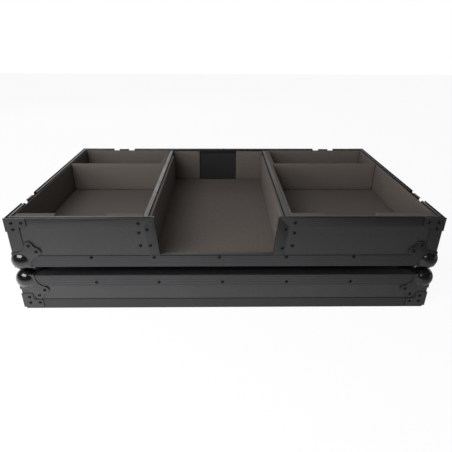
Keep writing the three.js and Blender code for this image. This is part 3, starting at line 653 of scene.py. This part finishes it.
def round_corners(piece, segments=2):
    apply_modifier(piece, "BEVEL", width=edge_radius * MM, segments=segments, limit_method="ANGLE",
                   angle_limit=radians(hard_corner), use_clamp_overlap=True, harden_normals=False)
    smooth_up_to(hard_corner, piece)
    return piece


# %% Rim profiles and notch caps
for node in [name for name in frame["nodes"] if name.startswith(("rim_rail", "notch_cap"))]:
    profile = welded_copy(node)
    if "rail" in node:
        ease_lip(profile)
    settle(round_corners(profile, segments=3), "tray", rim_metal, [node])
    print(node, "faces", len(profile.data.polygons))

# %% Latches and handles
for node in [name for name in frame["nodes"] if name.startswith(("latch", "handle"))]:
    body = body_of(frame["nodes"][node])[0]
    settle(round_corners(welded_copy(node)), body, finish_for(node), [node])
    print(node, "on", body)

# %% [markdown]
# ## Screws and rivets
# Every plate and profile is held by black pan-head screws with a cross recess, and the dishes by rivets. One
# screw is modelled with a dome squashed from a sphere and a cross cut by two bars. Copies go to every place,
# each turned by another angle, because nobody stops a screwdriver at the same one twice.

# %% One screw and one rivet
def half_dome(name, radius, rise, segments):
    bpy.ops.mesh.primitive_uv_sphere_add(segments=segments, ring_count=6, radius=1.0)
    bpy.context.object.scale = (radius * MM, radius * MM, rise * MM)
    dome = pick_up(name)
    bpy.ops.object.mode_set(mode="EDIT")
    bpy.ops.mesh.select_all(action="SELECT")
    bpy.ops.mesh.bisect(plane_co=(0.0, 0.0, 0.0), plane_no=(0.0, 0.0, 1.0), use_fill=True, clear_inner=True)
    done_editing()
    return dome


screw = half_dome("screw_model", radius=5.2, rise=2.6, segments=12)
arm, half_slot = 3.1, 0.65
recess_floor, above_head = 1.0, 4.0
for reach_x, reach_y in ((arm, half_slot), (half_slot, arm)):
    bar = block("slot", (-reach_x, -reach_y, recess_floor), (reach_x, reach_y, above_head))
    combine(screw, bar, "DIFFERENCE")
rivet = half_dome("rivet_model", radius=3.0, rise=1.3, segments=10)
for model in (screw, rivet):
    smooth_up_to(40.0, model)
print("screw faces", len(screw.data.polygons), "rivet faces", len(rivet.data.polygons))

# %% Put fasteners at a list of places
golden_turn = radians(137.5)


def fasten(name, model, body, places):
    """places holds (point in mm, outward direction) pairs; all copies become one piece."""
    twins = []
    for index, (point, outward) in enumerate(places):
        spin = Matrix.Rotation(golden_turn * index, 4, "Z")
        turn = Vector(outward).to_track_quat("Z", "Y").to_matrix().to_4x4()
        twins.append(copy_of(model, name, Matrix.Translation(Vector(point) * MM) @ turn @ spin))
    only(*twins)
    bpy.ops.object.join()
    group = bpy.context.object
    group.name = name
    settle(group, body, screw_black)
    print(name, len(places))


# %% Places along the edge profiles
# The places along the front come from the picture. The rear, which it hides, repeats them from the other side
front, rear, left, right = (0, -1, 0), (0, 1, 0), (-1, 0, 0), (1, 0, 0)
along_sides = (-205.0, 5.0, 210.0)


def round_the_case(along_front, level):
    places = [((x, -half_y, level), front) for x in along_front]
    places += [((-x, half_y, level), rear) for x in along_front]
    for y in along_sides:
        places += [((-half_x, y, level), left), ((half_x, y, level), right)]
    return places


tray_row = round_the_case(along_front=(-380.0, -203.0, -19.0, 171.0, 363.0), level=174.9)
lid_row = round_the_case(along_front=(-376.0, -195.0, -10.0, 177.0, 364.5), level=91.9)
fasten("tray_profile_screws", screw, "tray", tray_row)
fasten("lid_profile_screws", screw, "lid", lid_row)

# %% Places on the corner braces
def on_corner_braces(spots):
    """spots holds (distance from the corner, height) pairs, used on both faces of all four corners."""
    places = []
    for side_x in (-1, 1):
        for side_y in (-1, 1):
            face_x, face_y = side_x * (half_x + brace_proud), side_y * (half_y + brace_proud)
            for across, level in spots:
                places.append(((side_x * (half_x - across), face_y, level), (0, side_y, 0)))
                places.append(((face_x, side_y * (half_y - across), level), (side_x, 0, 0)))
    return places


fasten("tray_brace_screws", screw, "tray", on_corner_braces([(18.0, 282.3), (44.7, 283.1), (19.5, 263.6)]))
fasten("lid_brace_screws", screw, "lid", on_corner_braces([(18.8, 22.1), (47.0, 22.6), (19.6, 41.9)]))

# %% Places on the lobes of the ball corners
far_lobe, near_lobe = 69.0, 50.5


def on_ball_corners(face_level, up):
    """face_level is the case's outer face that the corner wraps, up points from it into the case."""
    places = []
    for side_x in (-1, 1):
        for side_y in (-1, 1):
            face_x, face_y = side_x * (half_x + plate_proud), side_y * (half_y + plate_proud)
            face_z = face_level - up * plate_proud
            for a, b in ((far_lobe, near_lobe), (near_lobe, far_lobe)):
                x, y, z = side_x * (half_x - a), side_y * (half_y - a), face_level + up * b
                places.append(((x, face_y, z), (0, side_y, 0)))
                places.append(((face_x, y, z), (side_x, 0, 0)))
                places.append(((x, side_y * (half_y - b), face_z), (0, 0, -up)))
    return places


fasten("tray_ball_corner_screws", screw, "tray", on_ball_corners(corner_z, 1))
fasten("lid_ball_corner_screws", screw, "lid", on_ball_corners(lid_top, -1))

# %% Places on the notch caps and over the dividers
strip_y, panel_y = level_of("notch_cap_left", LOW, Y), level_of("base_front_panel", LOW, Y)
cap_spots = ((163.0, 261.9), (157.5, 202.9), (-217.0, 261.4), (-211.0, 212.5))
fasten("notch_cap_screws", screw, "tray", [((x, strip_y, z), front) for x, z in cap_spots])

# Each column of three has its top screw in the rim profile's strip and the others in the panel
depths = (strip_y, panel_y, panel_y)
front_columns = (((188.3, 281.5), (188.5, 250.6), (185.4, 210.0)),
                 ((-239.2, 279.9), (-240.4, 251.6), (-238.4, 211.6)))
rear_levels = (281.5, 246.0, 206.0)
divider_places = []
for column in front_columns:
    divider_places += [((x, y, z), front) for (x, z), y in zip(column, depths)]
for divider in ("left_divider", "right_divider"):
    x = middle_of(divider, X)
    divider_places += [((x, -y, z), rear) for z, y in zip(rear_levels, depths)]
fasten("divider_screws", screw, "tray", divider_places)

# %% Rivets of the latches, keepers and handles
flange_inset = half_x - level_of("handle_dish_right", HIGH, X)
handle_y, handle_z = middle_of("handle_dish_right", Y), middle_of("handle_dish_right", Z)
latch_spots = [(-half_x, middle_of("latch_dish_left", Y), left),
               (half_x, middle_of("latch_dish_right", Y), right),
               (middle_of("latch_dish_rear_left", X), half_y, rear),
               (middle_of("latch_dish_rear_right", X), half_y, rear)]


def on_wall(x, y, outward, across, level):
    """A point on the flanges' outer face, beside the middle of a fitting at x, y."""
    out_x, out_y, _ = outward
    return (x - out_x * flange_inset + out_y * across, y - out_y * flange_inset + out_x * across, level)


in_dish = ((-40.2, 18.0), (40.2, 18.0), (-40.2, 48.0), (40.2, 48.0), (-18.0, 63.0), (18.0, 63.0))
in_keeper = ((-37.5, 15.0), (37.5, 15.0), (-37.5, 28.0), (37.5, 28.0))
dish_rivets = [(on_wall(x, y, out, across, rim_level - drop), out)
               for x, y, out in latch_spots for across, drop in in_dish]
fasten("latch_dish_rivets", rivet, "tray", dish_rivets)
keeper_rivets = [(on_wall(x, y, out, across, level), out)
                 for x, y, out in latch_spots for across, level in in_keeper]
fasten("latch_keeper_rivets", rivet, "lid", keeper_rivets)
handle_rivets = [(on_wall(side * half_x, handle_y, (side, 0, 0), across, handle_z + rise), (side, 0, 0))
                 for side in (-1, 1) for across in (-74.8, -25.0, 25.0, 74.8) for rise in (-38.4, 38.4)]
fasten("handle_dish_rivets", rivet, "tray", handle_rivets)
for model in (screw, rivet):
    bpy.data.objects.remove(model)

# %% [markdown]
# ## Foam
# The bays are lined with boards of dark foam, sawn and glued: a thick bed, linings on the walls, a front
# block with a slot for the fingers, and a bar at the back that stops what stands on the bed. Each board is
# its own piece with its edges rounded over, so a dark line shows at every glue joint. A slow displacement
# takes off the flatness of a cut board. The boards together stand for the one block of foam that the frame
# has in each bay, and at the walls they keep a tenth of a millimetre inside it.

# %% A sawn foam board
slow_waves = bpy.data.textures.new("foam_waves", "CLOUDS")
slow_waves.noise_scale = 0.09
wave_depth = 1.0 * MM
score_spacing = 30.0 * MM
thick_edge, thin_edge = 2.2, 1.2


def score_across(board):
    """Cut the board's faces into a loose grid, so that the waves have points to move."""
    only(board)
    bpy.ops.object.mode_set(mode="EDIT")
    for axis in (X, Y, Z):
        low = min(corner[axis] for corner in board.bound_box)
        high = max(corner[axis] for corner in board.bound_box)
        cuts = int((high - low) / score_spacing)
        for index in range(cuts):
            level = [0.0, 0.0, 0.0]
            level[axis] = low + (index + 0.5) * (high - low) / cuts
            normal = [0.0, 0.0, 0.0]
            normal[axis] = 1.0
            bpy.ops.mesh.select_all(action="SELECT")
            bpy.ops.mesh.bisect(plane_co=level, plane_no=normal)
    done_editing()


def foam_board(name, low, high, cutter=None, edge=thick_edge):
    board = block(name, low, high)
    if cutter:
        combine(board, cutter, "DIFFERENCE")
    apply_modifier(board, "BEVEL", width=edge * MM, segments=3, limit_method="ANGLE",
                   angle_limit=radians(30.0))
    score_across(board)
    apply_modifier(board, "DISPLACE", texture=slow_waves, texture_coords="LOCAL", strength=wave_depth,
                   mid_level=1.0)
    smooth_up_to(45.0, board)
    return board


def line_bay(boards, node, body="tray"):
    for board in boards:
        settle(board, body, foam_finish, [node])
    print(node, "boards", len(boards), "faces", sum(len(b.data.polygons) for b in boards))


# %% Walls and levels of the foam
inside, glue = 0.1, 0.15
bay_end = level_of("right_bay_foam", HIGH, X) - inside
bay_side = level_of("right_bay_foam", HIGH, Y) - inside
left_wall = level_of("left_bay_foam", HIGH, X) - inside
right_wall = level_of("right_bay_foam", LOW, X) + inside
middle_left = level_of("mixer_bay_foam", LOW, X) + inside
middle_right = level_of("mixer_bay_foam", HIGH, X) - inside
bed_low, foam_top = level_of("left_bay_foam", LOW, Z), level_of("left_bay_foam", HIGH, Z)
bed_thickness = 35.0
bed_top = bed_low + bed_thickness
on_bed = bed_top + glue
behind_profiles = 13.3
lining_out_x, lining_out_y = half_x - behind_profiles, half_y - behind_profiles
thin_lining, thick_lining = 4.1, 9.9
lining_in_x, lining_in_y = lining_out_x - thin_lining, lining_out_y - thin_lining
well_front, well_rear, stop_rear = -315.1, 142.9, 157.9
rear_block = 16.9
print("bed", bed_low, "to", bed_top, "and linings to", foam_top)

# %% Cutters for the boards
pocket_depth, pocket_half, pocket_up, pocket_down = 2.0, 69.6, 34.6, 40.0
left_slot_middle, right_slot_middle = -401.7, 350.3
slot_half, slot_front, slot_floor = 70.0, -332.1, 239.1
past_block, past_top = -300.0, 300.0


def handle_pocket(side):
    """Room for the handle's dish, open at the foot, where a strip left under it would be too thin to saw."""
    pocket = block("pocket", (-pocket_depth, handle_y - pocket_half, handle_z - pocket_down),
                   (pocket_depth, handle_y + pocket_half, handle_z + pocket_up))
    pocket.data.transform(Matrix.Translation((side * lining_out_x * MM, 0.0, 0.0)))
    return pocket


def finger_slot(middle):
    """Room for the fingers at the back of a front block, open to the rear and to the top."""
    return block("slot", (middle - slot_half, slot_front, slot_floor),
                 (middle + slot_half, past_block, past_top))


# %% Left bay
left_boards = [
    foam_board("left_foam_bed", (-bay_end, -bay_side, bed_low), (left_wall, bay_side, bed_top - glue)),
    foam_board("left_foam_front_block", (-lining_in_x, -lining_out_y, on_bed),
               (left_wall, well_front, foam_top), finger_slot(left_slot_middle)),
    foam_board("left_foam_side_lining", (-lining_out_x, -lining_out_y, on_bed),
               (-lining_in_x - glue, lining_out_y, foam_top), handle_pocket(-1), thin_edge),
    foam_board("left_foam_stop_bar", (-lining_in_x, well_rear, on_bed), (left_wall, stop_rear, foam_top)),
    foam_board("left_foam_rear_block", (left_wall - rear_block, stop_rear + glue, on_bed),
               (left_wall, lining_in_y - glue, foam_top)),
    foam_board("left_foam_rear_lining", (-lining_in_x, lining_in_y, on_bed),
               (left_wall, lining_out_y, foam_top), edge=thin_edge),
]
line_bay(left_boards, "left_bay_foam")

# %% Right bay
right_boards = [
    foam_board("right_foam_bed", (right_wall, -bay_side, bed_low), (bay_end, bay_side, bed_top - glue)),
    foam_board("right_foam_front_block", (right_wall, -lining_out_y, on_bed),
               (lining_in_x, well_front, foam_top), finger_slot(right_slot_middle)),
    foam_board("right_foam_side_lining", (lining_in_x + glue, -lining_out_y, on_bed),
               (lining_out_x, lining_out_y, foam_top), handle_pocket(1), thin_edge),
    foam_board("right_foam_divider_lining", (right_wall, well_front + glue, on_bed),
               (right_wall + thick_lining, well_rear - glue, foam_top)),
    foam_board("right_foam_stop_bar", (right_wall, well_rear, on_bed), (lining_in_x, stop_rear, foam_top)),
    foam_board("right_foam_rear_block", (right_wall, stop_rear + glue, on_bed),
               (right_wall + rear_block, lining_in_y - glue, foam_top)),
    foam_board("right_foam_rear_lining", (right_wall, lining_in_y, on_bed),
               (lining_in_x, lining_out_y, foam_top), edge=thin_edge),
]
line_bay(right_boards, "right_bay_foam")

# %% Middle bay
# Its linings stop short of the rear, where cables come through between two short boards
middle_top = level_of("mixer_bay_foam", HIGH, Z)
pad_thickness = 10.0
pad_top = bed_low + pad_thickness
on_pad = pad_top + glue
lining_end, rear_length = 277.1, 110.6
middle_boards = [
    foam_board("mixer_foam_pad", (middle_left, -lining_out_y, bed_low), (middle_right, bay_side, pad_top)),
    foam_board("mixer_foam_left_lining", (middle_left, -lining_out_y, on_pad),
               (middle_left + thick_lining, lining_end, middle_top)),
    foam_board("mixer_foam_right_lining", (middle_right - thick_lining, -lining_out_y, on_pad),
               (middle_right, lining_end, middle_top)),
    foam_board("mixer_foam_rear_left", (middle_left, lining_in_y, on_pad),
               (middle_left + rear_length, lining_out_y, middle_top), edge=thin_edge),
    foam_board("mixer_foam_rear_right", (middle_right - rear_length, lining_in_y, on_pad),
               (middle_right, lining_out_y, middle_top), edge=thin_edge),
]
line_bay(middle_boards, "mixer_bay_foam")

# %% The lid's pad
pad_low, pad_high = level_of("lid_foam", LOW, Z) + inside, level_of("lid_foam", HIGH, Z) - inside
lid_pad = foam_board("lid_foam_pad", (-bay_end, -bay_side, pad_low), (bay_end, bay_side, pad_high))
line_bay([lid_pad], "lid_foam", body="lid")
